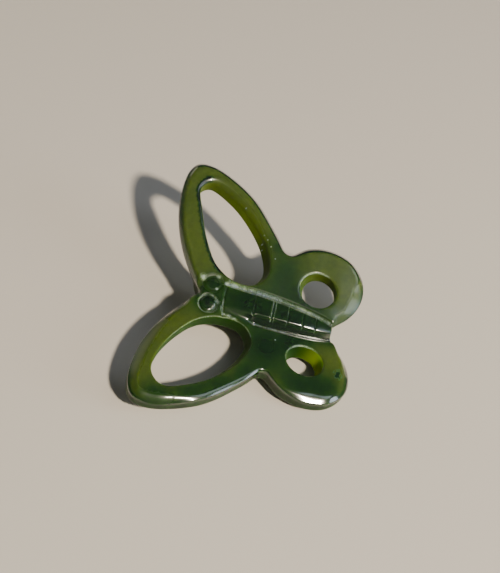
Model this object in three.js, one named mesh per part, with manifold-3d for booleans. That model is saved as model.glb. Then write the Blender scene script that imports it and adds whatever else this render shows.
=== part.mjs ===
// A jade butterfly pendant, carved from one piece of nephrite, lying loose on a level surface.
// Millimetres, +Z up. The head points along +Y and the wings spread along X.
import * as THREE from "three";
import { mergeVertices } from "three/addons/utils/BufferGeometryUtils.js";
import Module from "manifold-3d";

const wasm = await Module();
wasm.setup();

// The plate that both wings are cut from
const WING_THICKNESS = 3.2;
// An edge's rounds run this far in above and below. A hole is narrower below by its draft on every
// side, and its lower rim is shifted by its lean, outwards from the body and towards the head.
const EDGES = {
  lowOuter: { top: 1.1, under: 0.8, draft: 0, lean: [0, 0] },
  raisedOuter: { top: 1.1, under: 1.6, draft: 0, lean: [0, 0] },
  lowForeHole: { top: 0.4, under: 1, draft: 0.35, lean: [-0.35, 0.3] },
  raisedForeHole: { top: 0.4, under: 1, draft: 0.35, lean: [-0.25, 0.25] },
  lowHindHole: { top: 0.4, under: 0.4, draft: 0.55, lean: [0, 0] },
  raisedHindHole: { top: 0.4, under: 1, draft: 0.35, lean: [-0.15, -0.6] },
};
const EDGE_STEPS = 3;

// How far each wing rises from the body, and how the loose pendant lies: rolled and nose up
const WING_RISE = THREE.MathUtils.degToRad(10);
const REST_ROLL = THREE.MathUtils.degToRad(-15);
const REST_PITCH = THREE.MathUtils.degToRad(5.9);

// The wing's outline in its own plane: x runs outwards from the body, y towards the head
const FORE_EDGE = [
  [-1.5, 12.7], [6.2, 18.3], [13, 21.2], [19.4, 22], [23.2, 21.1], [24.4, 18.8], [23.7, 14.7],
  [20.7, 8.7], [15.6, 3.4], [12.6, 1],
];
const WAIST = [11.7, -0.4];
const HIND_EDGE = [
  [12.8, -1.2], [14.7, -3.6], [15.6, -7.5], [14.7, -11.7], [11.7, -14.6], [7.9, -15.2],
  [4.2, -13.7], [1.1, -10.6],
];
const OVERLAP = 1.5;
// The holes were cut by hand, and those of the low wing and the raised wing differ a little
const LOW_FORE_HOLE = [
  [20.8, 16.4], [19.1, 11.9], [15.3, 7.1], [10.8, 4.1], [7.3, 3.2], [4.5, 4.9], [4, 8.6],
  [5.7, 12.7], [9.9, 16.1], [15.2, 18.4], [18.9, 18.5],
];
const RAISED_FORE_HOLE = [
  [20.8, 16.9], [19.1, 12], [15.2, 7.1], [11, 3.9], [7.1, 2.95], [4.3, 4.9], [3.9, 8.6],
  [5.8, 12.3], [9.9, 15.2], [15.3, 17.6], [19.1, 18.7],
];
const LOW_HIND_HOLE = { x: 7.65, y: -6.7, across: 2.95, along: 3.35 };
const RAISED_HIND_HOLE = { x: 7, y: -6.7, across: 3.2, along: 3.4 };
const STEPS = { foreEdge: 66, waist: 6, hindEdge: 42, foreHole: 54, hindHole: 30 };

// The body from the tail to the head: half its width at the side grooves, half the width of its
// flat top, and the height of the top and depth of the belly from the line where the wings meet
const BODY_STATIONS = [
  { y: -10.6, side: 1.55, flat: 1.1, top: 1, belly: 3.6 },
  { y: -9.6, side: 1.9, flat: 1.25, top: 1.15, belly: 4.5 },
  { y: -7.5, side: 2.3, flat: 1.45, top: 1.35, belly: 5.05 },
  { y: -3, side: 2.8, flat: 1.85, top: 1.6, belly: 5.55 },
  { y: 2, side: 3.05, flat: 2.1, top: 1.6, belly: 6.1 },
  { y: 6, side: 3, flat: 2.05, top: 1.35, belly: 6.55 },
  { y: 9.3, side: 2.9, flat: 2.1, top: 1, belly: 6.5 },
  { y: 11.5, side: 3, flat: 2.3, top: 0.85, belly: 5.2 },
  { y: 13.4, side: 2.6, flat: 2.2, top: 0.55, belly: 3.4 },
];
const BODY_STEPS = 26;
const BELLY_STEPS = 12;
// The round belly's side starts this far above the under side of the wings
const BELLY_SHOULDER = 1;

// Cuts in the upper side: half width and depth at the surface
const SIDE_GROOVE = { half: 0.45, depth: 0.5, steps: 17 };
const SEGMENT_CUT = { half: 0.22, depth: 0.3 };
const SEGMENTS = [4.1, 0.8, -2.1, -5, -7.4];
const NECK_CUT = { half: 0.28, depth: 0.35, y: 9.6 };
const EYE = { x: 2.1, y: 12, z: 0.75, inner: 1.2, outer: 2, depth: 0.55 };
const EYE_STEPS = 24;
// A cut's tool stands this far out of the surface
const TOOL_HEIGHT = 1;

// The flat spots that the pendant lies on go this deep into its round under side
const REST_FLAT_DEPTH = 0.2;

// Closed geometry from rows of points: each loop is joined to the same loop of the next row, and
// the cover gives the faces that close the first and last rows
function closedRows(rows, loops, cover) {
  const count = rows[0].length;
  const indices = [];
  rows.slice(1).forEach((_, row) => {
    loops.forEach(([start, length]) => {
      for (let i = 0; i < length; i += 1) {
        const a = row * count + start + i;
        const b = row * count + start + ((i + 1) % length);
        indices.push(a, b, b + count, a, b + count, a + count);
      }
    });
  });
  const last = (rows.length - 1) * count;
  cover(rows[0]).forEach(([a, b, c]) => indices.push(c, b, a));
  cover(rows.at(-1)).forEach(([a, b, c]) => indices.push(last + a, last + b, last + c));
  const geometry = new THREE.BufferGeometry().setFromPoints(rows.flat());
  geometry.setIndex(indices);
  return geometry;
}

// A loft through rows that are each one convex loop
function loft(rows) {
  const length = rows[0].length;
  const fan = Array.from({ length: length - 2 }, (_, i) => [0, i + 1, i + 2]);
  return closedRows(rows, [[0, length]], () => fan);
}

function toSolid(geometry) {
  const bare = geometry.clone();
  bare.deleteAttribute("normal");
  bare.deleteAttribute("uv");
  const merged = mergeVertices(bare);
  const vertProperties = new Float32Array(merged.attributes.position.array);
  const triVerts = new Uint32Array(merged.index.array);
  return new wasm.Manifold(new wasm.Mesh({ numProp: 3, vertProperties, triVerts }));
}

function toGeometry(solid) {
  const mesh = solid.getMesh();
  const geometry = new THREE.BufferGeometry();
  geometry.setAttribute("position", new THREE.BufferAttribute(mesh.vertProperties, 3));
  geometry.setIndex(new THREE.BufferAttribute(mesh.triVerts, 1));
  geometry.computeVertexNormals();
  return geometry;
}

// The loop moved into the material, which lies to the left of its direction of travel
function inset(loop, distance) {
  return loop.map((point, i) => {
    const before = loop[(i + loop.length - 1) % loop.length];
    const after = loop[(i + 1) % loop.length];
    const along = after.clone().sub(before).normalize();
    return new THREE.Vector2(point.x - along.y * distance, point.y + along.x * distance);
  });
}

// The rows of one loop's wall, from the under side to the top, with both edges rounded
function wallRows(loop, edge) {
  const rows = [];
  const quarter = (i) => (i / EDGE_STEPS) * Math.PI * 0.5;
  const addRow = (z, distance, [x, y] = [0, 0]) => {
    rows.push(inset(loop, distance).map((p) => new THREE.Vector3(p.x + x, p.y + y, z)));
  };
  for (let i = 0; i <= EDGE_STEPS; i += 1) {
    const rise = edge.under * (1 - Math.cos(quarter(i)));
    const distance = edge.under * (1 - Math.sin(quarter(i))) - edge.draft;
    addRow(rise - WING_THICKNESS, distance, edge.lean);
  }
  for (let i = 0; i <= EDGE_STEPS; i += 1) {
    const drop = edge.top * (1 - Math.sin(quarter(i)));
    addRow(-drop, edge.top * (1 - Math.cos(quarter(i))));
  }
  return rows;
}

function wingOutline() {
  const vectors = (places) => places.map(([x, y]) => new THREE.Vector2(x, y));
  const fore = vectors(FORE_EDGE);
  const hind = vectors(HIND_EDGE);
  const waist = new THREE.QuadraticBezierCurve(fore.at(-1), new THREE.Vector2(...WAIST), hind[0]);
  const outline = [
    ...new THREE.SplineCurve(fore).getSpacedPoints(STEPS.foreEdge),
    ...waist.getSpacedPoints(STEPS.waist).slice(1, -1),
    ...new THREE.SplineCurve(hind).getSpacedPoints(STEPS.hindEdge),
    new THREE.Vector2(-OVERLAP, hind.at(-1).y),
  ];
  return outline.reverse();
}

function foreHoleOutline(places) {
  const points = places.map(([x, y]) => new THREE.Vector3(x, y, 0));
  const curve = new THREE.CatmullRomCurve3(points, true, "centripetal");
  const outline = curve.getSpacedPoints(STEPS.foreHole).slice(0, -1);
  return outline.map((p) => new THREE.Vector2(p.x, p.y));
}

function hindHoleOutline({ x, y, across, along }) {
  const oval = new THREE.EllipseCurve(x, y, across, along, 0, Math.PI * 2, true);
  return oval.getPoints(STEPS.hindHole).slice(0, -1);
}

// One side's wings: a plate with rounded edges and two open holes, rising from the body
function wingSolid(foreHole, hindHole, edges) {
  const outline = wingOutline();
  const holes = [foreHoleOutline(foreHole), hindHoleOutline(hindHole)];
  const walls = [outline, ...holes].map((loop, i) => wallRows(loop, edges[i]));
  const rows = walls[0].map((_, row) => walls.flatMap((wall) => wall[row]));
  const loops = [];
  [outline, ...holes].reduce((start, loop) => {
    loops.push([start, loop.length]);
    return start + loop.length;
  }, 0);
  const cover = (row) => {
    const [edge, ...open] = loops.map(([start, length]) => row.slice(start, start + length));
    return THREE.ShapeUtils.triangulateShape(edge, open);
  };
  const plate = closedRows(rows, loops, cover);
  return toSolid(plate.rotateY(-WING_RISE));
}

// The body's sizes at any place between the stations
function bodyAt(y) {
  const above = Math.max(1, BODY_STATIONS.findIndex((station) => station.y >= y));
  const near = BODY_STATIONS.slice(Math.max(0, above - 2), above + 2);
  const [a, b] = [BODY_STATIONS[above - 1], BODY_STATIONS[above]];
  const t = (y - a.y) / (b.y - a.y);
  const before = near[0];
  const after = near.at(-1);
  const size = {};
  ["side", "flat", "top", "belly"].forEach((key) => {
    const slopeA = ((b[key] - before[key]) / (b.y - before.y)) * (b.y - a.y);
    const slopeB = ((after[key] - a[key]) / (after.y - a.y)) * (b.y - a.y);
    size[key] = (2 * t ** 3 - 3 * t ** 2 + 1) * a[key] + (t ** 3 - 2 * t ** 2 + t) * slopeA
      + (3 * t ** 2 - 2 * t ** 3) * b[key] + (t ** 3 - t ** 2) * slopeB;
  });
  size.shoulder = size.side * Math.tan(WING_RISE) - SIDE_GROOVE.depth * 0.5;
  return size;
}

// The raised back with its flat top, and the round belly under it
function bodySolid() {
  const tail = BODY_STATIONS[0].y;
  const head = BODY_STATIONS.at(-1).y;
  const rows = [];
  for (let step = 0; step <= BODY_STEPS; step += 1) {
    const y = THREE.MathUtils.lerp(tail, head, step / BODY_STEPS);
    const size = bodyAt(y);
    const row = [[-size.side, size.shoulder], [-size.flat, size.top], [size.flat, size.top],
      [size.side, size.shoulder]];
    const start = BELLY_SHOULDER - WING_THICKNESS;
    for (let i = 0; i <= BELLY_STEPS; i += 1) {
      const angle = (i / BELLY_STEPS) * Math.PI;
      row.push([size.side * Math.cos(angle), start - (size.belly + start) * Math.sin(angle)]);
    }
    rows.push(row.map(([x, z]) => new THREE.Vector3(x, y, z)));
  }
  return toSolid(loft(rows));
}

// A V-shaped cut along a path, with the path on the surface
function cutAlong(path, cut) {
  const up = new THREE.Vector3(0, 0, 1);
  const half = cut.half * (1 + TOOL_HEIGHT / cut.depth);
  const rows = path.map((point, i) => {
    const before = path[Math.max(0, i - 1)];
    const after = path[Math.min(path.length - 1, i + 1)];
    const side = after.clone().sub(before).cross(up).normalize();
    const top = point.clone().addScaledVector(up, TOOL_HEIGHT);
    const left = top.clone().addScaledVector(side, -half);
    const right = top.clone().addScaledVector(side, half);
    return [left, right, point.clone().addScaledVector(up, -cut.depth)];
  });
  return toSolid(loft(rows));
}

// The groove between the body and one wing
function sideGroove(sign) {
  const path = [];
  const start = BODY_STATIONS[0].y - TOOL_HEIGHT;
  for (let i = 0; i <= SIDE_GROOVE.steps; i += 1) {
    const y = THREE.MathUtils.lerp(start, NECK_CUT.y, i / SIDE_GROOVE.steps);
    const size = bodyAt(Math.max(y, BODY_STATIONS[0].y));
    path.push(new THREE.Vector3(sign * size.side, y, size.side * Math.tan(WING_RISE)));
  }
  return cutAlong(path, SIDE_GROOVE);
}

// The line behind the head, which follows the back down to the wings on both sides
function neckCut() {
  const size = bodyAt(NECK_CUT.y);
  const path = [-size.side, -size.flat, size.flat, size.side].map((x) => {
    const z = Math.abs(x) > size.flat ? size.shoulder : size.top;
    return new THREE.Vector3(x, NECK_CUT.y, z);
  });
  return cutAlong(path, NECK_CUT);
}

// A level cut across the flat top of the back
function backCut(y) {
  const { side, top } = bodyAt(y);
  return cutAlong([new THREE.Vector3(-side, y, top), new THREE.Vector3(side, y, top)], SEGMENT_CUT);
}

// The ring round one eye
function eyeRing(sign) {
  const middle = (EYE.inner + EYE.outer) * 0.5;
  const profile = [
    [middle, -EYE.depth], [EYE.outer, 0], [EYE.outer, TOOL_HEIGHT], [EYE.inner, TOOL_HEIGHT],
    [EYE.inner, 0], [middle, -EYE.depth],
  ].map(([r, height]) => new THREE.Vector2(r, height));
  const ring = new THREE.LatheGeometry(profile, EYE_STEPS);
  return toSolid(ring.rotateX(Math.PI * 0.5).translate(sign * EYE.x, EYE.y, EYE.z));
}

// Everything below the surface that the pendant lies on, seen from the pendant
function ground(solid, turn) {
  const points = toGeometry(solid).applyMatrix4(turn);
  points.computeBoundingBox();
  const size = 100;
  const box = new THREE.BoxGeometry(size, size, size);
  box.translate(0, 0, points.boundingBox.min.z + REST_FLAT_DEPTH - size * 0.5);
  return toSolid(box.applyMatrix4(turn.clone().invert()));
}

function butterflySolid(turn) {
  const right = wingSolid(RAISED_FORE_HOLE, RAISED_HIND_HOLE, [
    EDGES.raisedOuter, EDGES.raisedForeHole, EDGES.raisedHindHole,
  ]);
  const left = wingSolid(LOW_FORE_HOLE, LOW_HIND_HOLE, [
    EDGES.lowOuter, EDGES.lowForeHole, EDGES.lowHindHole,
  ]).mirror([1, 0, 0]);
  const cuts = [
    sideGroove(1), sideGroove(-1), eyeRing(1), eyeRing(-1), neckCut(), ...SEGMENTS.map(backCut),
  ];
  const whole = cuts.reduce((rest, cut) => rest.subtract(cut), right.add(left).add(bodySolid()));
  return whole.subtract(ground(whole, turn));
}

const rest = new THREE.Euler(REST_PITCH, REST_ROLL, 0);
const turn = new THREE.Matrix4().makeRotationFromEuler(rest);
const jade = new THREE.MeshStandardMaterial({ color: 0x2c4a1c, roughness: 0.22, metalness: 0 });
const butterfly = new THREE.Mesh(toGeometry(butterflySolid(turn)), jade);
butterfly.name = "jade_butterfly";
butterfly.rotation.copy(rest);

// The origin is on the surface, under the middle of the pendant's box
const pendant = new THREE.Group();
pendant.add(butterfly);
const bounds = new THREE.Box3().setFromObject(pendant, true);
const middle = bounds.getCenter(new THREE.Vector3());
butterfly.position.set(-middle.x, -middle.y, -bounds.min.z);

export default pendant;
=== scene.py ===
"""A carved nephrite butterfly pendant lying loose, dressed for its looks. Metres, +Z up; shapes are worked
out in millimetres in the butterfly's own frame, with its head along +Y, and then laid down as it rests."""
import math

import bpy
import numpy as np
from mathutils import Matrix, Vector
from mathutils.geometry import delaunay_2d_cdt


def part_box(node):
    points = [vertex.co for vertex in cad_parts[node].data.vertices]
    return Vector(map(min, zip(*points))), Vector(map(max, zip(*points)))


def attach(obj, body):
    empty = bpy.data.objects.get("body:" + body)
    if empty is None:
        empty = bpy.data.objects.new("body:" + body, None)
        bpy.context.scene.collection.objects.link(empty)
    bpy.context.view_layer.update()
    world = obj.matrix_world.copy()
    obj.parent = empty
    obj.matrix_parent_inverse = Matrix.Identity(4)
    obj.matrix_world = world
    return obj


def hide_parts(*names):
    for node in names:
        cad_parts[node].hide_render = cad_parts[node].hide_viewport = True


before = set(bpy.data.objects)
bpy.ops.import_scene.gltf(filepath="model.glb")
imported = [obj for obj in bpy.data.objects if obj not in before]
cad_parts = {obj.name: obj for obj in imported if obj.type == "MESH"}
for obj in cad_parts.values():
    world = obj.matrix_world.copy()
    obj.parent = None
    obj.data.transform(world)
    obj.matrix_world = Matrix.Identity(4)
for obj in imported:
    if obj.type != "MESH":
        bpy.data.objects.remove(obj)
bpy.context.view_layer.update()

MM = 0.001

# The stone's plate and how it lies, in millimetres as all that follows up to the lamps
THICKNESS = 3.2
WING_RISE = math.radians(10)
REST_ROLL = math.radians(-15)
REST_PITCH = math.radians(5.9)

# One wing's outline in its own plane, outwards from the body and towards the head
FORE_EDGE = [[-1.5, 12.7], [6.2, 18.3], [13, 21.2], [19.4, 22], [23.2, 21.1], [24.4, 18.8], [23.7, 14.7],
             [20.7, 8.7], [15.6, 3.4], [12.6, 1]]
WAIST = [11.7, -0.4]
HIND_EDGE = [[12.8, -1.2], [14.7, -3.6], [15.6, -7.5], [14.7, -11.7], [11.7, -14.6], [7.9, -15.2],
             [4.2, -13.7], [1.1, -10.6]]
LOW_FORE_HOLE = [[20.8, 16.4], [19.1, 11.9], [15.3, 7.1], [10.8, 4.1], [7.3, 3.2], [4.5, 4.9], [4, 8.6],
                 [5.7, 12.7], [9.9, 16.1], [15.2, 18.4], [18.9, 18.5]]
RAISED_FORE_HOLE = [[20.8, 16.9], [19.1, 12], [15.2, 7.1], [11, 3.9], [7.1, 2.95], [4.3, 4.9], [3.9, 8.6],
                    [5.8, 12.3], [9.9, 15.2], [15.3, 17.6], [19.1, 18.7]]
LOW_HIND_HOLE = {"x": 7.65, "y": -6.7, "across": 2.95, "along": 3.35}
RAISED_HIND_HOLE = {"x": 7.0, "y": -6.7, "across": 3.2, "along": 3.4}

# How far the outline's corners are eased
OUTLINE_ROUNDING = 0.3

# How far an edge's rounds run in above, down and in below. A hole is narrower below by its draft on every
# side, and its lower rim is shifted by its lean, outwards and towards the head.
LOW_OUTER = {"top": 1.15, "down": 1.1, "under": 0.8}
RAISED_OUTER = {"top": 1.15, "down": 1.1, "under": 1.6}
LOW_FORE_RIM = {"top": 0.28, "under": 1.0, "draft": 0.35, "lean": [-0.35, 0.3]}
RAISED_FORE_RIM = {"top": 0.4, "under": 1.0, "draft": 0.35, "lean": [-0.25, 0.25]}
LOW_HIND_RIM = {"top": 0.4, "under": 0.4, "draft": 0.55, "lean": [0, 0]}
RAISED_HIND_RIM = {"top": 0.4, "under": 1.0, "draft": 0.35, "lean": [-0.15, -0.6]}
END_BEVEL = 0.3

# How full a round is: the power of its curve, 2 for a quarter circle and 1 for a flat facet. The outer
# edge's upper round is a parabola over the share called bend, and then runs straight to a sharp corner.
ROUND_POWER = 1.9
FACET_POWER = 1.06
CORNER_BEND = 0.65

# Places on the outer edge that were ground: x, y, reach, how much wider and deeper, and how flat
FACETS = [[2.6, -12.1, 2.4, 0.25, 0.0, 0.9], [6, -14.6, 2.6, 0.7, 0.0, 0.9],
          [9, -15.2, 2.3, 0.85, 0.0, 0.9], [-9.5, -14.8, 4.0, 1.8, 0.2, 0.0],
          [-15.3, -9.0, 3.6, 1.7, 0.72, 0.0], [-15.3, -9.3, 7, -0.85, -0.97, 0.0],
          [-14.4, -3.2, 2.2, -0.3, -0.3, 0.0], [-12.2, -0.6, 2.6, -0.65, -0.4, 0.0],
          [-14.5, 3, 3.5, -0.2, -0.6, 0.0], [-17.5, 6.3, 3.5, -0.15, -0.5, 0.0],
          [-20.8, 10.3, 3.6, -0.25, -0.74, 0.0], [-15, 21.4, 8.5, 0.5, 0.0, 0.9],
          [12.2, -0.6, 2.4, -0.4, -0.2, 0.0]]
# Places where a hole's rim was worn: x, y, reach and how much wider, and how deep wear goes for its width
WORN_RIMS = [[21, 17.3, 2.4, 0.3], [20, 13.4, 3.6, 1.2], [17, 8.5, 4.0, 1.3], [12.5, 4.8, 3.0, 0.6]]
WEAR_DEPTH = 0.6

# The body at stations from the tail to the head
STATIONS = {
    "y": [-10.6, -9.6, -7.5, -3, 2, 6, 9.3, 11.5, 13.4, 14.4],
    "side": [1.55, 1.9, 2.3, 2.8, 3.05, 3.0, 2.9, 3.0, 2.6, 2.4],
    "flat": [1.1, 1.25, 1.45, 1.85, 2.1, 2.05, 2.1, 2.3, 2.2, 2.0],
    "top": [1.0, 1.15, 1.35, 1.6, 1.6, 1.35, 1.0, 0.85, 0.55, -0.6],
    "belly": [3.6, 4.5, 5.05, 5.55, 6.1, 6.55, 6.5, 5.2, 3.4, 3.1],
}
BELLY_SHOULDER = 1.0
GROOVE = {"half": 0.45, "depth": 0.5, "fillet": 0.07}
# How much further back the low side's groove begins, and how much more slowly
GROOVE_SHIFT = 3.0
# The cuts across the back: where, how deep, and how much dust they hold; their walls' slope and their slant
SEGMENTS = [[4.1, 0.26, 0.36], [0.8, 0.28, 0.62], [0.3, 0.12, 0.5], [-2.1, 0.2, 0.34], [-5.0, 0.26, 0.42],
            [-7.4, 0.26, 0.36]]
SEGMENT_SLOPE = 1.35
SEGMENT_SLANT = 0.03
NECK = {"y": 9.6, "half": 0.26, "depth": 0.32, "bow": 0.04}
# The rings round the eyes, the raised side's worn down to a small part of their depth
EYE = {"x": 2.1, "y": 12.0, "inner": 1.2, "outer": 2.0, "depth": 0.42, "dome": 0.06, "worn": 0.85}
POLISH_WAVES = {"count": 7, "shortest": 5, "longest": 15, "above": 0.045, "below": 0.05}

# The mesh: rows of an edge's rounds and wall, the spacing of points, how close a grid's rows stand for its
# spacing, and steps from one point of a curve to the next
BEVEL_ROWS = 10
FLANK_ROWS = 5
EDGE_SPACING = 0.22
WING_SPACING = 0.42
BODY_SPACING = 0.115
BELLY_SPACING = 0.3
GRID_ROW = 0.87
CURVE_STEPS = 40
# Where the fine grid over the carved body ends
CARVED = {"half": 4.3, "low": -10.4, "high": 14.1}
# Points that are compared at a time, to spare memory
BLOCK = 3000

# The edge strips in the order of their making, the number of a point that is on none, and the share of a
# strip's rows, from 0 below to 1 above, where its upper round begins
OUTER, RAISED_FORE, LOW_FORE, RAISED_HIND, LOW_HIND = range(5)
NO_STRIP = -1
ROUND_START = 0.6

# Soft spots as x, y, half widths across and along, and strength: where the green is deep, partly the
# stone's own tone and partly painted shade where light falls less, where dust lies besides the cuts, dark
# flaws, a painted glow where light comes through a hole's wall, and where handling wore the polish off the
# outer edge. Pale specks have a radius instead; they are dust in small pits, with painted glints where the
# pits catch the light.
DEEP_GREEN_AND_SHADE = [[0, -10.5, 2.2, 2, 0.8], [0, -4, 3.4, 8, 0.97], [0, 5, 3.4, 6, 0.9], [2.1, 12, 1.9, 2, 0.75],
        [-2.1, 12, 2.2, 2.3, 0.9], [-7.2, 0.5, 4.4, 4.2, 0.97], [-4.5, -4, 3, 3.5, 0.8],
        [-12.5, -6.5, 3.2, 4, 0.75], [-12, -11, 3.4, 3, 0.62], [-14, 2.5, 3, 2.6, 0.7],
        [-17.5, 6.5, 3, 3, 0.6], [-20.5, 10.5, 3, 3.5, 0.55], [-22.8, 17, 2.6, 3.5, 0.5],
        [8, 0, 4.2, 3.4, 0.6], [12.4, 2.8, 2.2, 2.6, 0.4], [4.6, -4.5, 2.6, 4.5, 0.6]]
DUST = [[2.9, 8.3, 0.65, 1.0, 1.0], [2.7, 9.6, 0.4, 0.5, 0.9], [3.0, 6.4, 0.5, 1.3, 0.85],
        [-3.4, 8.0, 0.35, 0.45, 1.0], [-3.6, 6.9, 0.3, 0.45, 0.85], [-3.3, 8.9, 0.25, 0.4, 0.7],
        [2.7, 14, 0.7, 0.7, 0.85], [3.6, 11.3, 0.35, 0.6, 0.8], [1.0, 11.2, 0.3, 0.3, 0.9],
        [-1.4, 10.6, 0.35, 0.6, 0.6], [-3.6, 11.6, 0.3, 0.7, 0.55]]
FLAWS = [[-8.3, -12.8, 1.5, 1.2, 1.0], [-12.7, -5.4, 0.6, 0.6, 0.65]]
GLOW = [[-6.2, -9.6, 2.6, 2.2, 1.0], [15, 8.5, 5, 5, 0.15]]
WORN_EDGE = [[-23.0, 16.9, 1.6, 2.1, 0.9]]
SPECKS_AND_GLINTS = [[13.2, 4.6, 0.14], [12.1, 3.7, 0.16], [10.1, 2.4, 0.12], [12.7, 5.2, 0.12], [11.9, 4.9, 0.1],
          [13.9, 5.4, 0.12], [-5.2, -0.9, 0.16], [21.1, 17.4, 0.2], [17.0, 16.7, 0.14], [18.0, 9.9, 0.14],
          [13.4, 6.6, 0.12], [-16.2, -1.0, 0.1]]

# The stone's greens from thin places to thick ones, each at its share of the depth, the deeper greens
# also standing for painted shade, and its other colours, the hole walls' green being a painted glow
GREENS = [[0.0, "#586925"], [0.4, "#2C4D15"], [0.8, "#0D340A"], [1.0, "#031703"]]
# A painted glow: the hole walls' green where light comes through them
PAINTED_GLOW_GREEN = "#98B61E"
FLAW_DARK = "#0A2A10"
FLAW_HALO = "#4E8A5C"
DUST_COLOUR = "#AEC0B4"

# Roughness of the polished stone, of a ground facet, and of dust and unpolished walls
POLISHED = 0.2
GROUND = 0.32
UNPOLISHED = 0.55

# The camera: where it aims on the floor, and its direction, distance, turn and lens
CAMERA = {"azimuth": -94.88, "elevation": 44.79, "distance": 187.7, "roll": 17.1, "lens": 62.5,
          "aim": [11.82, 1.27]}
# The lamps: name, azimuth, elevation, distance and width in metres, watts and colour. The floor's in metres.
LAMPS = [["key", -48.4, 45.7, 0.9, 0.075, 12.0, "#FFF1DC"],
         ["side_softbox", -8, 20, 1.0, 0.5, 3.2, "#E6F0FF"],
         ["back_softbox", 136, 20, 1.0, 0.4, 0.4, "#FFF4DC"],
         ["top_softbox", -2, 56, 1.0, 0.45, 0.8, "#E6F0FF"]]
SURROUNDINGS = {"colour": "#C9D3DE", "strength": 0.1}
FLOOR = {"half": 3.0, "colour": "#D9D2C6", "roughness": 0.8}


def smooth_step(value, low, high):
    """0 below low, 1 above high, and the cubic 3t2 - 2t3 between."""
    t = np.clip((value - low) / (high - low), 0, 1)
    return t * t * (3 - 2 * t)


def soft_min(a, b, radius):
    """The smaller of two heights, with a fillet of about that radius where they meet."""
    return (a + b - np.sqrt((a - b) ** 2 + radius ** 2)) / 2


def soft_max(a, b, radius):
    """The larger of two heights, with a fillet where they meet."""
    return -soft_min(-a, -b, radius)


def round_bell(x, y, place_x, place_y, reach):
    """1 at a place, and less with the distance from it: e to the power of -(distance / reach) squared."""
    return np.exp(-((x - place_x) ** 2 + (y - place_y) ** 2) / reach ** 2)


def curve_through(points, closed, power):
    """Catmull-Rom curve through points, as dense points: cubic Hermite pieces whose tangents weigh the
    neighbours' chords, each raised to a power (0 uniform, 0.5 centripetal)."""
    p = np.asarray(points, float)
    p = np.vstack([p[-1:], p, p[:2]]) if closed else np.vstack([p[:1], p, p[-1:]])
    length = np.linalg.norm(np.diff(p, axis=0), axis=1)
    chord = length ** power
    chord[length < 1e-6] = 1.0
    d0, d1, d2 = chord[:-2, None], chord[1:-1, None], chord[2:, None]
    if not closed:
        d0[0], d2[-1] = d1[0], d1[-1]
    a, b, c, d = p[:-3], p[1:-2], p[2:-1], p[3:]
    leave = ((b - a) / d0 - (c - a) / (d0 + d1) + (c - b) / d1) * d1
    arrive = ((c - b) / d1 - (d - b) / (d1 + d2) + (d - c) / d2) * d1
    t = np.linspace(0, 1, CURVE_STEPS, endpoint=False)[None, :, None]
    b, c, leave, arrive = (v[:, None] for v in (b, c, leave, arrive))
    dense = ((2 * t ** 3 - 3 * t ** 2 + 1) * b + (t ** 3 - 2 * t ** 2 + t) * leave
             + (3 * t ** 2 - 2 * t ** 3) * c + (t ** 3 - t ** 2) * arrive).reshape(-1, 2)
    return dense if closed else np.vstack([dense, p[-1:]])


def even_loop(points, rounding=0.0):
    """The closed loop at even arc length, its corners eased by repeated averaging of neighbours."""
    ring = np.vstack([points, points[:1]])
    length = np.concatenate([[0], np.cumsum(np.linalg.norm(np.diff(ring, axis=0), axis=1))])
    at = np.linspace(0, length[-1], int(round(length[-1] / EDGE_SPACING)), endpoint=False)
    loop = np.stack([np.interp(at, length, ring[:, k]) for k in (0, 1)], axis=1)
    for _ in range(int(round(2 * (rounding / EDGE_SPACING) ** 2))):
        loop = loop / 2 + (np.roll(loop, 1, axis=0) + np.roll(loop, -1, axis=0)) / 4
    return loop


def outer_loop():
    """The whole outline, anticlockwise from above: one wing's curves, joined by a parabola round the waist,
    and their mirror image."""
    fore = curve_through(FORE_EDGE, False, 0.0)
    hind = curve_through(HIND_EDGE, False, 0.0)
    t = np.linspace(0, 1, 30)[1:-1, None]
    waist = (1 - t) ** 2 * fore[-1] + 2 * t * (1 - t) * np.array(WAIST) + t ** 2 * hind[0]
    right = np.vstack([fore[fore[:, 0] > 0.02], waist, hind])
    left = right[::-1] * [-1, 1]
    return even_loop(np.vstack([right, left]), OUTLINE_ROUNDING)[::-1]


def oval(hole):
    """An ellipse: centre plus across times cosine and along times sine."""
    angle = np.linspace(0, 2 * np.pi, 120, endpoint=False)
    return np.stack([hole["x"] + hole["across"] * np.cos(angle),
                     hole["y"] + hole["along"] * np.sin(angle)], axis=1)


def hole_loops():
    """The four openings, clockwise from above, with their rims, which are wider where they were worn by a
    bell curve of the distance along them."""
    raised, low = curve_through(RAISED_FORE_HOLE, True, 0.5), curve_through(LOW_FORE_HOLE, True, 0.5)
    found = []
    for points, side, rim in ((raised, 1, RAISED_FORE_RIM), (low, -1, LOW_FORE_RIM),
                              (oval(RAISED_HIND_HOLE), 1, RAISED_HIND_RIM),
                              (oval(LOW_HIND_HOLE), -1, LOW_HIND_RIM)):
        loop = even_loop(points) * [side, 1]
        x, y = loop[:, 0], loop[:, 1]
        area = np.sum(x * np.roll(y, -1) - np.roll(x, -1) * y)
        worn = sum(more * round_bell(x, y, place_x, place_y, reach)
                   for place_x, place_y, reach, more in WORN_RIMS)
        if area > 0:
            loop, worn = loop[::-1], worn[::-1]
        none = np.zeros(len(loop))
        found.append((loop, {"top": rim["top"] + worn, "down": rim["top"] + WEAR_DEPTH * worn,
                             "under": none + rim["under"], "facet": none, "corner": none,
                             "draft": rim["draft"], "lean": np.array(rim["lean"], float) * [side, 1]}))
    return found


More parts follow.
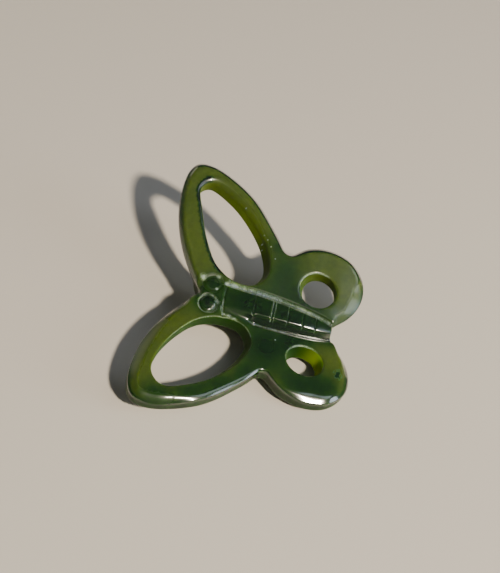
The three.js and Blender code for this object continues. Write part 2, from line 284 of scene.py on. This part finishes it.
def outer_edge(loop):
    """The outer edge's rounds: each wing's own, small at the head and the tail, and wider where it was
    ground back by a bell curve of the distance along the edge."""
    x, y = loop[:, 0], loop[:, 1]
    raised = smooth_step(x, -1, 1)
    ends = smooth_step(x, 1.1, 2.3) + smooth_step(-x, 1.4, 3.6)
    edge = {"draft": 0.0, "lean": np.zeros(2), "facet": 0 * raised, "corner": ends}
    for key in ("top", "down", "under"):
        full = LOW_OUTER[key] + (RAISED_OUTER[key] - LOW_OUTER[key]) * raised
        edge[key] = END_BEVEL + (full - END_BEVEL) * ends
    for place_x, place_y, reach, wider, deeper, flat in FACETS:
        bell = round_bell(x, y, place_x, place_y, reach)
        edge["top"] = edge["top"] + ends * wider * bell
        edge["down"] = edge["down"] + ends * deeper * bell
        edge["facet"] = 1 - (1 - edge["facet"]) * (1 - flat * bell)
    return edge


def station(key, y):
    """A body size at y, on a smooth curve through the stations."""
    known = curve_through(np.stack([STATIONS["y"], STATIONS[key]], axis=1), False, 0.0)
    return np.interp(y, known[:, 0], known[:, 1])


def waviness(x, y, seed):
    """Low ripples of hand polishing: a sum of plane waves 5 to 15 mm long, 1 high at most."""
    rng = np.random.default_rng(seed)
    total = np.zeros_like(x)
    for _ in range(POLISH_WAVES["count"]):
        length = rng.uniform(POLISH_WAVES["shortest"], POLISH_WAVES["longest"])
        turn, phase = rng.uniform(0, 2 * np.pi), rng.uniform(0, 2 * np.pi)
        total += np.sin(2 * np.pi * (x * np.cos(turn) + y * np.sin(turn)) / length + phase)
    return total / POLISH_WAVES["count"]


def cut_profile(distance, half, depth):
    """Depth of a V-shaped cut at a distance from its middle, its lips rounded by a fillet that ends in 0 at
    1.8 half widths."""
    fillet = 0.25 * depth
    v = depth * (1 - np.abs(distance) / half)
    return soft_max(v, 0 * v, fillet) - soft_max(-0.8 * depth + 0 * v, 0 * v, fillet)


def neck_distance(far, y):
    """Distance along the body from the cut behind the head, whose ends bend back as a parabola."""
    return y - NECK["y"] + NECK["bow"] * far ** 2


def top_height(x, y):
    """The upper side: two sloping wings, a raised back with a flat top between two V grooves, cuts across
    it, and a ring round each eye. Each is a plane or a V, and where two meet, the lower or the higher is
    taken with a fillet."""
    far, raised, low_side = np.abs(x), smooth_step(x, -1, 1), smooth_step(x, 1, -1)
    side, flat, top = station("side", y), station("flat", y), station("top", y)

    # The back's edge is rounder near the tail, and in front its low side runs softly out into the wing
    wing = np.sqrt(far ** 2 + 0.02) * math.tan(WING_RISE)
    lip = side * math.tan(WING_RISE)
    slope = (top - lip + GROOVE["depth"]) / (side - flat)
    shoulder = smooth_step(x, -0.5, -2) * smooth_step(y, 1.5, 6.5)
    crest = 0.06 + 0.4 * smooth_step(y, -3.5, -7.5) + 0.6 * shoulder
    ridge = soft_min(top + 0 * far, top + (flat - far) * slope, crest)
    height = soft_max(wing, ridge, 0.1 + 0.8 * shoulder)

    # The grooves end before the neck, and the low side's ends sooner and more slowly
    end = NECK["y"] - GROOVE_SHIFT * low_side
    along = smooth_step(y, end + 0.3, end - 0.6 - GROOVE_SHIFT * low_side)
    groove = lip - GROOVE["depth"] * along + (1 - along)
    groove += np.abs(far - side) * GROOVE["depth"] / GROOVE["half"]
    height = soft_min(height, groove, GROOVE["fillet"])
    for place, depth, _ in SEGMENTS:
        cut = top - depth + np.abs(y - place - SEGMENT_SLANT * x) * SEGMENT_SLOPE
        height = soft_min(height, cut + 5 * np.maximum(far - side, 0), 0.04)
    neck = smooth_step(far, side + 1.5, side + 0.6) * (1 - 0.6 * smooth_step(x, -0.5, 1))
    height -= neck * cut_profile(neck_distance(far, y), NECK["half"], NECK["depth"])

    radius = np.hypot(far - EYE["x"], y - EYE["y"]) + 0.12 * waviness(4 * x, 4 * y, 5)
    middle, half = (EYE["inner"] + EYE["outer"]) / 2, (EYE["outer"] - EYE["inner"]) / 2
    height -= cut_profile(radius - middle, half, EYE["depth"]) * (1 - EYE["worn"] * raised)
    height -= EYE["dome"] * np.clip(radius / EYE["inner"], 0, 1) ** 2 * (radius < middle)
    return height + POLISH_WAVES["above"] * waviness(x, y, 3) * smooth_step(far, side, side + 2)


def under_height(x, y):
    """The under side: the wings' lower faces, rounded where they meet, and the belly, half an ellipse in
    section. The lower of the two is taken, with a fillet."""
    far = np.abs(x)
    side, belly = station("side", y), station("belly", y)
    wing = np.sqrt(far ** 2 + 0.3) * math.tan(WING_RISE) - THICKNESS / math.cos(WING_RISE)
    start = BELLY_SHOULDER - THICKNESS
    round_part = start - (belly + start) * np.sqrt(np.clip(1 - (far / side) ** 2, 0, 1))
    round_part += 8 * np.maximum(far - side, 0)
    return soft_min(wing, round_part, 0.25) + POLISH_WAVES["below"] * waviness(x, y, 8)


def lean_of(x):
    """How much a wall at x leans outwards with its wing: -1 to 1, changing sign smoothly over the body."""
    return np.tanh(x / 1.2)


def inwards(loop):
    """Unit normals of a loop into the material, which lies to the left of its direction."""
    along = np.roll(loop, -1, axis=0) - np.roll(loop, 1, axis=0)
    along /= np.linalg.norm(along, axis=1, keepdims=True)
    return np.stack([-along[:, 1], along[:, 0]], axis=1)


def bevel(power):
    """A rounded edge from face to wall, as rows of distance in and depth: in^p + depth^p = 1 seen from the
    corner, a circle at p = 2 and closer to a flat facet as p goes to 1."""
    angle = np.linspace(0, np.pi / 2, BEVEL_ROWS)
    return np.stack([1 - np.sin(angle) ** (2 / power), 1 - np.cos(angle) ** (2 / power)], axis=1)


def pillow(bend):
    """A face that falls away to a sharp corner, as rows of distance in and depth: a parabola over the share
    called bend, and a straight slope after it."""
    run = np.linspace(0, 1, BEVEL_ROWS)
    depth = np.where(run < bend, run ** 2 / (2 * bend), run - bend / 2) / (1 - bend / 2)
    return np.stack([1 - run, depth], axis=1)


def wall(loop, edge):
    """The strip round one loop, rows from the under face to the top face: a rounded profile carried along
    it, each point at its face's height and then down, or up, along the wing's own upright."""
    normal = inwards(loop)
    under_rows, top_rows = [], []
    for soft, sharp, ground in zip(bevel(ROUND_POWER), pillow(CORNER_BEND), bevel(FACET_POWER)):
        flat = loop + normal * (edge["under"] * soft[0] - edge["draft"])[:, None] + edge["lean"]
        rise = edge["under"] * soft[1]
        tilt = lean_of(flat[:, 0]) * math.sin(WING_RISE)
        x_face = flat[:, 0] * math.cos(WING_RISE) + THICKNESS * tilt
        z = under_height(x_face, flat[:, 1]) + rise * math.cos(WING_RISE)
        under_rows.append(np.stack([x_face - rise * tilt, flat[:, 1], z], axis=1))

        step = soft + (sharp - soft) * edge["corner"][:, None]
        step += (ground - step) * edge["facet"][:, None]
        flat = loop + normal * (edge["top"] * step[:, 0])[:, None]
        drop = edge["down"] * step[:, 1]
        tilt = lean_of(flat[:, 0]) * math.sin(WING_RISE)
        x_face = flat[:, 0] * math.cos(WING_RISE)
        z = top_height(x_face, flat[:, 1]) - drop * math.cos(WING_RISE)
        top_rows.insert(0, np.stack([x_face + drop * tilt, flat[:, 1], z], axis=1))
    t = np.linspace(0, 1, FLANK_ROWS + 2)[1:-1, None, None]
    flank = under_rows[-1] + (top_rows[0] - under_rows[-1]) * t
    return np.concatenate([under_rows, flank, top_rows])


def inside(points, loops):
    """True where a point lies in the material: an odd number of loop edges crosses a line from it to the
    right."""
    a = np.vstack(loops)
    b = np.vstack([np.roll(loop, -1, axis=0) for loop in loops])
    found = np.zeros(len(points), bool)
    for start in range(0, len(points), BLOCK):
        x, y = points[start:start + BLOCK, :1], points[start:start + BLOCK, 1:]
        spans = (a[:, 1] > y) != (b[:, 1] > y)
        with np.errstate(divide="ignore", invalid="ignore"):
            cross = a[:, 0] + (y - a[:, 1]) / (b[:, 1] - a[:, 1]) * (b[:, 0] - a[:, 0])
        found[start:start + BLOCK] = (spans & (cross > x)).sum(axis=1) % 2 == 1
    return found


def nearest(points, targets):
    """Distance from each point to the closest target point."""
    found = np.empty(len(points))
    for start in range(0, len(points), BLOCK):
        part = points[start:start + BLOCK, None] - targets[None]
        found[start:start + BLOCK] = np.sqrt((part ** 2).sum(axis=2).min(axis=1))
    return found


def grid(low, high, spacing):
    """Points of an even grid of triangles: rows, every second one shifted by half a step."""
    xs = np.arange(low[0], high[0], spacing)
    ys = np.arange(low[1], high[1], spacing * GRID_ROW)
    x, y = np.meshgrid(xs, ys)
    x[1::2] += spacing / 2
    return np.stack([x.ravel(), y.ravel()], axis=1)


def over_body(points, grow):
    """True where a point lies over the carved body, or within that distance beside it."""
    x, y = points[:, 0], points[:, 1]
    return (np.abs(x) < CARVED["half"] + grow) & (y > CARVED["low"]) & (y < CARVED["high"])


def face_between(loops, fine_spacing):
    """A flat mesh between loops: two grids, fine over the body and coarse over the wings, joined by a
    Delaunay triangulation. Gives the inner points and the triangles, numbered after the loops' points."""
    edge = np.vstack(loops)
    low, high = edge.min(axis=0), edge.max(axis=0)
    coarse, fine = grid(low, high, WING_SPACING), grid(low, high, fine_spacing)
    coarse = coarse[~over_body(coarse, WING_SPACING / 2)]
    fine = fine[over_body(fine, 0)]
    coarse, fine = coarse[inside(coarse, loops)], fine[inside(fine, loops)]
    coarse = coarse[nearest(coarse, edge) > WING_SPACING * 0.6]
    fine = fine[nearest(fine, edge) > min(fine_spacing, EDGE_SPACING) * 0.7]
    inner = np.vstack([coarse, fine])
    points = np.vstack([edge, inner])
    sizes = [len(loop) for loop in loops]
    starts = np.concatenate([[0], np.cumsum(sizes)[:-1]])
    edges = np.vstack([np.stack([s + np.arange(n), s + (np.arange(n) + 1) % n], axis=1)
                       for s, n in zip(starts, sizes)])
    made = delaunay_2d_cdt(points.tolist(), edges.tolist(), [], 0, 1e-7)
    origin = np.array([ids[0] for ids in made[3]])
    triangles = origin[np.array(made[2])]
    middle = points[triangles].mean(axis=1)
    return inner, triangles[inside(middle, loops)]


def lie_down(points):
    """From the butterfly's own frame to the CAD model's: rolled, nose up, and moved so that its box is the
    solid's. Its lowest points are pressed flat on the ground."""
    turn = np.array(Matrix.Rotation(REST_PITCH, 3, "X") @ Matrix.Rotation(REST_ROLL, 3, "Y"))
    laid = points @ turn.T
    low, high = laid.min(axis=0), laid.max(axis=0)
    solid_low, solid_high = np.array(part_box("jade_butterfly")) / MM
    middle = (solid_low + solid_high - low - high) / 2
    laid += [middle[0], middle[1], solid_high[2] - high[2]]
    laid[:, 2] = np.maximum(laid[:, 2], solid_low[2])
    return laid


def butterfly_mesh():
    """The carved stone's whole surface: five wall strips, the top face and the under face, sharing their
    edges. Gives points, quads, triangles, and each point's strip, its place on it from 0 below to 1 above,
    and the way that the strip faces in plan."""
    outline = outer_loop()
    walls = [wall(loop, edge) for loop, edge in [(outline, outer_edge(outline))] + hole_loops()]
    parts, triangles, quads = [], [], []
    first_rows, last_rows, strip_of, row_of, facing = [], [], [], [], []
    count = 0
    for number, strip in enumerate(walls):
        rows, around = strip.shape[:2]
        strip_of.append(np.full(rows * around, number))
        row_of.append(np.repeat(np.arange(rows) / (rows - 1), around))
        facing.append(np.tile(-inwards(strip[-1, :, :2]), (rows, 1)))
        index = count + np.arange(rows * around).reshape(rows, around)
        after = np.roll(index, -1, axis=1)
        quads.append(np.stack([index[:-1], after[:-1], after[1:], index[1:]], axis=2).reshape(-1, 4))
        first_rows.append(index[0])
        last_rows.append(index[-1])
        parts.append(strip.reshape(-1, 3))
        count += rows * around
    for row, edge_points, spacing, height in ((-1, last_rows, BODY_SPACING, top_height),
                                              (0, first_rows, BELLY_SPACING, under_height)):
        is_top = row == -1
        inner, faces = face_between([strip[row, :, :2] for strip in walls], spacing)
        numbers = np.concatenate([*edge_points, count + np.arange(len(inner))])
        parts.append(np.column_stack([inner, height(inner[:, 0], inner[:, 1])]))
        faces = numbers[faces]
        a, b, c = (np.vstack(parts)[faces[:, k]] for k in range(3))
        wrong = (np.cross(b - a, c - a)[:, 2] > 0) != is_top
        faces[wrong] = faces[wrong][:, ::-1]
        triangles.append(faces)
        count += len(inner)
        strip_of.append(np.full(len(inner), NO_STRIP))
        row_of.append(np.full(len(inner), 1.0 if is_top else 0.0))
        facing.append(np.zeros((len(inner), 2)))
    return (np.vstack(parts), np.vstack(quads), np.vstack(triangles), np.concatenate(strip_of),
            np.concatenate(row_of), np.vstack(facing))


def make_piece(name, points, quads, triangles):
    """One smooth-shaded mesh object at the origin."""
    mesh = bpy.data.meshes.new(name)
    mesh.from_pydata((points * MM).tolist(), [], quads.tolist() + triangles.tolist())
    mesh.shade_smooth()
    piece = bpy.data.objects.new(name, mesh)
    bpy.context.scene.collection.objects.link(piece)
    return piece


def point_attribute(piece, name, values):
    """A number, or a place, on every point for the material to read."""
    values = np.ascontiguousarray(values, np.float32)
    kind, field = ("FLOAT", "value") if values.ndim == 1 else ("FLOAT_VECTOR", "vector")
    layer = piece.data.attributes.new(name, kind, "POINT")
    layer.data.foreach_set(field, values.ravel())


def blobs(x, y, table):
    """Soft spots laid over each other: 1 - product of (1 - strength x bell of the distance over the half
    widths)."""
    left = np.ones_like(x)
    for spot_x, spot_y, across, along, strength in table:
        left *= 1 - strength * np.exp(-((x - spot_x) / across) ** 2 - ((y - spot_y) / along) ** 2)
    return 1 - left


def line_bell(distance, half):
    """1 on a line, and less with the distance from it: e to the power of -(distance / half) squared."""
    return np.exp(-(distance / half) ** 2)


def eye_distance(x, y):
    """Distance from the middle of the nearer eye."""
    return np.hypot(np.abs(x) - EYE["x"], y - EYE["y"])


def dust_in_cuts(x, y, strip, row):
    """Pale dust that polishing left in the cuts, as a bell of the distance to each: the raised side's
    groove is broad, the low side's is a fine line, and the rims of the hind holes are rough on the body's
    side."""
    far, side, flat = np.abs(x), station("side", y), station("flat", y)
    raised = smooth_step(x, -1, 1)

    half = (0.12 + 0.27 * raised) * (1 - 0.4 * smooth_step(y, -3, -7) * raised)
    start = 10.2 - 5 * (1 - raised)
    grooves = 0.66 - 0.26 * (1 - raised) * smooth_step(y, -5, -9)
    grooves *= line_bell(far - side - 0.1 * raised, half)
    grooves *= smooth_step(y, -10.8, -10.2) * smooth_step(y, start, start - 1.2)

    cuts = sum(held * line_bell(y - place - SEGMENT_SLANT * x, 0.13) for place, _, held in SEGMENTS)
    cuts *= smooth_step(far, flat + 0.3, flat)
    neck = 0.7 * line_bell(neck_distance(far, y), 0.16) * (far < side + 0.6) * smooth_step(x, 0.4, -1)
    ring = (0.58 - 0.44 * raised) * line_bell(eye_distance(x, y) - 1.75, 0.22)

    near_body = smooth_step(np.where(x > 0, x - RAISED_HIND_HOLE["x"], x + LOW_HIND_HOLE["x"])
                            + 0.6 * (y - LOW_HIND_HOLE["y"]), 0, 3)
    rims = 0.66 * (strip >= RAISED_HIND) * near_body
    rims += 0.45 * (strip == LOW_FORE) * smooth_step(x, -10.5, -8.5)
    rims *= line_bell(row - 0.8, 0.13)
    most = np.maximum.reduce([grooves, cuts, ring, neck, rims, blobs(x, y, DUST)])
    return np.clip(most, 0, 1) * (row > ROUND_START)


def facet_share(x, y, strip, row):
    """How much a point of the outer edge lies on a flat ground facet: the facets' bells, on its upper
    round."""
    bells = [flat * round_bell(x, y, place_x, place_y, reach)
             for place_x, place_y, reach, _, _, flat in FACETS]
    return np.clip(1.6 * np.maximum.reduce(bells), 0, 1) * (strip == OUTER) * smooth_step(row, 0.6, 0.75)


def green_depth_and_shade(x, y, strip, row, facing):
    """How deep the green is, with painted shade, as the most of: the soft spots, partly painted shade, with
    painted shade on the slope beside the back's low side; painted shade on the walls; painted shade on the
    raised wing's outer round where it turns away from the light; and painted shade on the round of its large
    hole that faces the tail."""
    side, flat = station("side", y), station("flat", y)
    # Painted shade on the slope beside the back's low side
    slope = smooth_step(-x, flat - 0.1, flat + 0.2) * smooth_step(-x, side + 0.3, side)
    slope *= smooth_step(y, 6, 4)
    # The soft spots: the stone's deep tone together with painted shade
    spots = 0.8 * blobs(x, y, DEEP_GREEN_AND_SHADE) + 0.2 * slope
    # Painted shade on the outer wall and on the low fore hole's wall
    walls = smooth_step(row, 0.85, ROUND_START) * (0.65 * (strip == OUTER) + 0.5 * (strip == LOW_FORE))
    # Painted shade on the raised wing's outer round where it faces away from the light, less on ground
    # facets
    outward = smooth_step(facing[:, 0] - 0.25 * facing[:, 1], 0.2, 0.7) * (x > 0)
    outward *= 1 - facet_share(x, y, strip, row)
    raised_rim_shade = outward * (strip == OUTER) * smooth_step(row, 0.99, 0.9)
    # Painted shade on the round of the raised fore hole that faces the tail
    shaded_rim = smooth_step(-facing[:, 1], 0.2, 0.6) * (strip == RAISED_FORE) * smooth_step(row, 0.7, 0.85)
    return np.maximum.reduce([spots, walls, 0.8 * raised_rim_shade, 0.85 * shaded_rim])


def wall_share(strip, row):
    """How much a point lies on a wall, between its rounds. The outer wall ends lowest, and the raised fore
    hole's runs softly up to its rim."""
    start = np.where(strip == OUTER, 0.64, np.where(strip == RAISED_FORE, 1.0, 0.85))
    width = np.where(strip == RAISED_FORE, 0.4, 0.15)
    return smooth_step(row, start, start - width) * smooth_step(row, 0.1, 0.3)


def unpolished_share(x, y, strip, row):
    """How dull a point is, as the most of: the holes' walls and, less so, the outer wall, the ring round
    each eye, and the place on the outer edge where the polish is worn."""
    walls = wall_share(strip, row) * ((strip > OUTER) + 0.7 * (strip == OUTER))
    ring = 0.7 * line_bell(eye_distance(x, y) - 1.6, 0.4) * (row > ROUND_START)
    worn = blobs(x, y, WORN_EDGE) * (strip == OUTER) * smooth_step(row, 0.45, 0.6)
    return np.maximum.reduce([walls, ring, worn])


def make_butterfly():
    """The piece, with numbers on its points for how deep its green and its painted shade are, how much dust
    it holds, how dark a flaw is, where it is unpolished, where a painted glow stands for light coming
    through, and where it is a ground facet."""
    own, quads, triangles, strip, row, facing = butterfly_mesh()
    piece = make_piece("carved_butterfly", lie_down(own), quads, triangles)
    x, y = own[:, 0], own[:, 1]
    point_attribute(piece, "own_place", own * MM)
    # How deep the green is, with painted shade
    point_attribute(piece, "deep_green_and_shade", green_depth_and_shade(x, y, strip, row, facing))
    point_attribute(piece, "cut_dust", dust_in_cuts(x, y, strip, row))
    point_attribute(piece, "flaw", blobs(x, y, FLAWS) * (row > ROUND_START))
    point_attribute(piece, "dull_wall", unpolished_share(x, y, strip, row))
    # A painted glow on the hole walls where light comes through
    point_attribute(piece, "painted_hole_glow", wall_share(strip, row) * (strip > OUTER) * blobs(x, y, GLOW))
    point_attribute(piece, "facet", facet_share(x, y, strip, row))
    return piece


def linear(text):
    """An sRGB hex colour as linear red, green, blue and 1."""
    values = [int(text[i:i + 2], 16) / 255 for i in (1, 3, 5)]
    return [v / 12.92 if v <= 0.04045 else ((v + 0.055) / 1.055) ** 2.4 for v in values] + [1.0]


def add(tree, kind, settings=(), output=None, **inputs):
    """A node with its settings, and its inputs, by name or as i and a number, as values or as other nodes'
    outputs. Gives the output asked for, or else the first one in use."""
    node = tree.nodes.new(kind)
    for key, value in dict(settings).items():
        setattr(node, key, value)
    for key, value in inputs.items():
        numbered = key[0] == "i" and key[1:].isdigit()
        socket = node.inputs[int(key[1:]) if numbered else key.replace("_", " ")]
        if isinstance(value, bpy.types.NodeSocket):
            tree.links.new(value, socket)
        else:
            socket.default_value = value
    return node.outputs[output] if output else next(found for found in node.outputs if found.enabled)


def stone_colour(tree, place, fibres, deep, flaw, painted_hole_glow):
    """Olive to deep green with the depth and its painted shade, drifting in clouds 7 mm across and speckled
    by fibres under 1 mm, with a painted glow where light comes through a hole's wall, and broken by dark
    flaws with a pale halo."""
    clouds = add(tree, "ShaderNodeTexNoise", Vector=place, Scale=1 / (7 * MM), Detail=3.0, Roughness=0.55)
    drift = add(tree, "ShaderNodeMath", {"operation": "MULTIPLY_ADD"}, i0=clouds, i1=0.36, i2=-0.16)
    shade = add(tree, "ShaderNodeMath", {"operation": "ADD", "use_clamp": True}, i0=deep, i1=drift)
    green = add(tree, "ShaderNodeValToRGB", i0=shade)
    stops = green.node.color_ramp.elements
    for share, _ in GREENS[1:-1]:
        stops.new(share)
    for stop, (_, colour) in zip(stops, GREENS):
        stop.color = linear(colour)
    speckle = add(tree, "ShaderNodeMapRange", i0=fibres, i1=0.35, i2=0.75, i3=0.88, i4=1.12)
    colour = add(tree, "ShaderNodeVectorMath", {"operation": "SCALE"}, i0=green, i3=speckle)

    blotch = add(tree, "ShaderNodeTexNoise", Vector=place, Scale=1 / (0.5 * MM), Detail=2.0)
    found = add(tree, "ShaderNodeMath", {"operation": "MULTIPLY"}, i0=flaw, i1=blotch)
    halo = add(tree, "ShaderNodeMapRange", i0=found, i1=0.28, i2=0.36, i4=0.45)
    dark = add(tree, "ShaderNodeMapRange", i0=found, i1=0.37, i2=0.46, i4=0.85)
    # The painted glow on hole walls, then the flaws' halo and dark core
    for share, over in ((painted_hole_glow, PAINTED_GLOW_GREEN), (halo, FLAW_HALO), (dark, FLAW_DARK)):
        colour = add(tree, "ShaderNodeMix", {"data_type": "RGBA"}, i0=share, i6=colour, i7=linear(over))
    return colour


def pale_dust_and_glints(tree, place, own, dust):
    """How much dust shows: crumbs 0.2 mm across, gathered in patches of 1.2 mm, in the cuts, and single pale
    specks, dust in small pits with painted glints where they catch the light, each full at half its radius
    from its middle and gone at the whole."""
    crumbs = add(tree, "ShaderNodeTexNoise", Vector=place, Scale=1 / (0.22 * MM), Detail=3.0)
    patches = add(tree, "ShaderNodeTexNoise", Vector=place, Scale=1 / (1.2 * MM), Detail=2.0)
    sharp = add(tree, "ShaderNodeMapRange", i0=crumbs, i1=0.05, i2=0.9)
    gather = add(tree, "ShaderNodeMapRange", i0=patches, i1=0.35, i2=0.65, i3=0.7, i4=1.25)
    caught = add(tree, "ShaderNodeMath", {"operation": "MULTIPLY"}, i0=dust, i1=sharp)
    caught = add(tree, "ShaderNodeMath", {"operation": "MULTIPLY"}, i0=caught, i1=gather)
    pale = add(tree, "ShaderNodeMapRange", i0=caught, i1=0.14, i2=0.5, i4=0.95)
    # Pale specks: dust in small pits, and painted glints where the pits catch the light
    for x, y, radius in SPECKS_AND_GLINTS:
        apart = add(tree, "ShaderNodeVectorMath", {"operation": "MULTIPLY_ADD"}, i0=own, i1=(1, 1, 0),
                    i2=(-x * MM, -y * MM, 0))
        apart = add(tree, "ShaderNodeVectorMath", {"operation": "LENGTH"}, i0=apart)
        speck = add(tree, "ShaderNodeMapRange", i0=apart, i1=radius * MM, i2=radius * 0.5 * MM)
        pale = add(tree, "ShaderNodeMath", {"operation": "MAXIMUM"}, i0=pale, i1=speck)
    return pale


def polished_nephrite():
    """Green nephrite jade, ground and polished to a soft waxy gloss. Light sinks a few millimetres into it,
    and the wings' olive glow, the thick body's deep green and the shade on the low side are also painted
    into its colour. Cuts hold pale dust, and hole walls are unpolished."""
    material = bpy.data.materials.new("polished_nephrite")
    material.use_nodes = True
    tree = material.node_tree
    shader = tree.nodes["Principled BSDF"]
    place = add(tree, "ShaderNodeTexCoord", output="Object")
    own = add(tree, "ShaderNodeAttribute", {"attribute_name": "own_place"}, "Vector")
    names = ("deep_green_and_shade", "cut_dust", "flaw", "dull_wall", "painted_hole_glow", "facet")
    deep, dust, flaw, unpolished, painted_hole_glow, facet = (
        add(tree, "ShaderNodeAttribute", {"attribute_name": name}, "Fac") for name in names)
    fibres = add(tree, "ShaderNodeTexNoise", Vector=place, Scale=1 / (0.9 * MM), Detail=4.0, Roughness=0.65)

    pale = pale_dust_and_glints(tree, place, own, dust)
    stone = stone_colour(tree, place, fibres, deep, flaw, painted_hole_glow)
    # Pale dust in the cuts, and the specks' painted glints
    colour = add(tree, "ShaderNodeMix", {"data_type": "RGBA"}, i0=pale, i6=stone, i7=linear(DUST_COLOUR))
    tree.links.new(colour, shader.inputs["Base Color"])

    # Gloss: the cuts and the walls are dull, and the ground facets are half polished
    in_cut = add(tree, "ShaderNodeMapRange", i0=dust, i1=0.1, i2=0.5)
    dull = add(tree, "ShaderNodeMath", {"operation": "MAXIMUM"}, i0=pale, i1=unpolished)
    dull = add(tree, "ShaderNodeMath", {"operation": "MAXIMUM"}, i0=dull, i1=in_cut)
    gloss = add(tree, "ShaderNodeMapRange", i0=facet, i3=POLISHED, i4=GROUND)
    rough = add(tree, "ShaderNodeMapRange", i0=dull, i3=gloss, i4=UNPOLISHED)
    tree.links.new(rough, shader.inputs["Roughness"])
    specular = add(tree, "ShaderNodeMapRange", i0=dull, i3=0.6, i4=0.08)
    tree.links.new(specular, shader.inputs["Specular IOR Level"])
    bare = add(tree, "ShaderNodeMath", {"operation": "MAXIMUM"}, i0=dull, i1=facet)
    coat = add(tree, "ShaderNodeMapRange", i0=bare, i2=0.5, i3=1.0, i4=0.0)
    tree.links.new(coat, shader.inputs["Coat Weight"])

    # Relief: polishing waves 1.6 mm long all over, and the fibres as grinding strokes on the facets
    polish = add(tree, "ShaderNodeTexNoise", Vector=place, Scale=1 / (1.6 * MM), Detail=3.0)
    strokes = add(tree, "ShaderNodeMath", {"operation": "MULTIPLY"}, i0=facet, i1=fibres)
    relief = add(tree, "ShaderNodeMath", {"operation": "MULTIPLY_ADD"}, i0=strokes, i1=0.9, i2=polish)
    bump = add(tree, "ShaderNodeBump", Height=relief, Strength=0.1, Distance=0.1 * MM)
    tree.links.new(bump, shader.inputs["Normal"])
    shader.inputs["IOR"].default_value = 1.61
    shader.inputs["Coat Roughness"].default_value = 0.09
    shader.inputs["Coat IOR"].default_value = 1.7
    shader.inputs["Subsurface Weight"].default_value = 1.0
    shader.inputs["Subsurface Radius"].default_value = (0.9, 1.0, 0.3)
    shader.inputs["Subsurface Scale"].default_value = 2.2 * MM
    shader.inputs["Subsurface Anisotropy"].default_value = 0.7
    return material


def plain_floor():
    """A pale matt sheet that the pendant lies on."""
    half = FLOOR["half"]
    mesh = bpy.data.meshes.new("floor")
    mesh.from_pydata([(-half, -half, 0), (half, -half, 0), (half, half, 0), (-half, half, 0)], [],
                     [(0, 1, 2, 3)])
    floor = bpy.data.objects.new("floor", mesh)
    bpy.context.scene.collection.objects.link(floor)
    material = bpy.data.materials.new("pale_matt_paper")
    material.use_nodes = True
    shader = material.node_tree.nodes["Principled BSDF"]
    shader.inputs["Base Color"].default_value = linear(FLOOR["colour"])
    shader.inputs["Roughness"].default_value = FLOOR["roughness"]
    mesh.materials.append(material)


def direction(azimuth, elevation):
    """Unit vector from the pendant towards a viewer or lamp, with azimuth 0 towards -Y."""
    a, e = math.radians(azimuth), math.radians(elevation)
    return Vector((math.sin(a) * math.cos(e), -math.cos(a) * math.cos(e), math.sin(e)))


def add_camera():
    """The camera at its distance from the aim, looking back at it and turned about its own axis."""
    data = bpy.data.cameras.new("camera")
    data.lens, data.sensor_width = CAMERA["lens"], 36.0
    data.clip_start, data.clip_end = 0.01, 10
    camera = bpy.data.objects.new("camera", data)
    back = direction(CAMERA["azimuth"], CAMERA["elevation"])
    roll = Matrix.Rotation(math.radians(CAMERA["roll"]), 3, "Z").to_quaternion()
    camera.location = Vector((*CAMERA["aim"], 0)) * MM + back * CAMERA["distance"] * MM
    camera.rotation_mode = "QUATERNION"
    camera.rotation_quaternion = (-back).to_track_quat("-Z", "Y") @ roll
    bpy.context.scene.collection.objects.link(camera)
    bpy.context.scene.camera = camera


def add_light():
    """One small softbox from the right of the view, where the photograph's light comes from, three large
    dim ones for the polish to mirror, and pale surroundings. Every lamp looks back at the pendant."""
    for name, azimuth, elevation, distance, width, watts, colour in LAMPS:
        data = bpy.data.lights.new(name, "AREA")
        data.shape, data.size, data.energy, data.color = "DISK", width, watts, linear(colour)[:3]
        lamp = bpy.data.objects.new(name, data)
        back = direction(azimuth, elevation)
        lamp.location = back * distance
        lamp.rotation_euler = back.to_track_quat("Z", "Y").to_euler()
        bpy.context.scene.collection.objects.link(lamp)
    world = bpy.data.worlds.new("pale_surroundings")
    world.use_nodes = True
    background = world.node_tree.nodes["Background"]
    background.inputs["Color"].default_value = linear(SURROUNDINGS["colour"])
    background.inputs["Strength"].default_value = SURROUNDINGS["strength"]
    bpy.context.scene.world = world


add_camera()
add_light()
plain_floor()
butterfly = make_butterfly()
butterfly.data.materials.append(polished_nephrite())
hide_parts("jade_butterfly")
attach(butterfly, "root")
